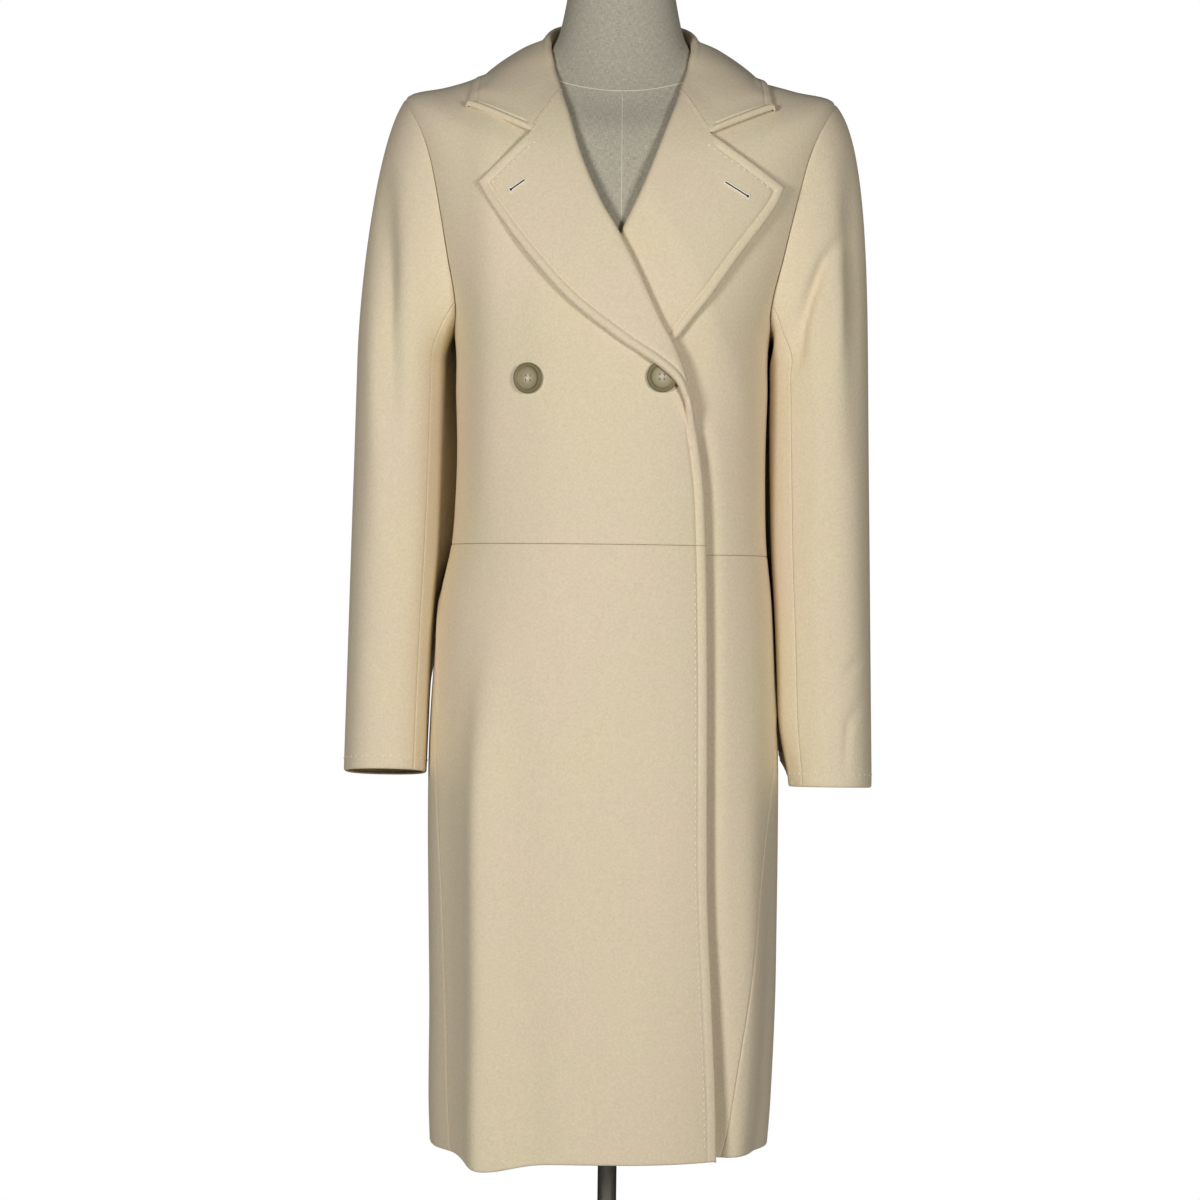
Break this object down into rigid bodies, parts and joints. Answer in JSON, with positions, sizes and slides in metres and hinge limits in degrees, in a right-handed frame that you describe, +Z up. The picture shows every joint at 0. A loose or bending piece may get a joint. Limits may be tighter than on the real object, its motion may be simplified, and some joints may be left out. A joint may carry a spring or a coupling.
{
  "type": "chesterfield coat on dress form",
  "caption": "Knee-length double-breasted wool chesterfield coat with notched lapels, worn by a limbless linen dress form on a pole with a round base.",
  "frame": {"origin": "on the floor at the bottom centre of the bounding box, under the stand's pole", "axes": "+Z up, +X to the wearer's left, the coat's front faces -Y"},
  "size_m": [0.4973, 0.34, 1.5],
  "materials": {
    "wool": "felted cream wool with a short nap",
    "horn": "polished horn-coloured resin",
    "linen": "natural plain-weave linen cover",
    "steel": "satin grey steel"
  },
  "bodies": {
    "root": {"front_bodice_right": "wool", "front_bodice_left": "wool", "front_skirt_right": "wool", "front_skirt_left": "wool", "back_bodice_right": "wool", "back_bodice_left": "wool", "back_skirt_right": "wool", "back_skirt_left": "wool", "lapel_right": "wool", "lapel_left": "wool", "collar": "wool", "sleeve_top_right": "wool", "sleeve_top_left": "wool", "sleeve_under_right": "wool", "sleeve_under_left": "wool", "button_outer": "horn", "button_inner": "horn", "form_torso": "linen", "pole": "steel", "pole_socket": "steel", "stand_base": "steel"}
  },
  "joints": []
}
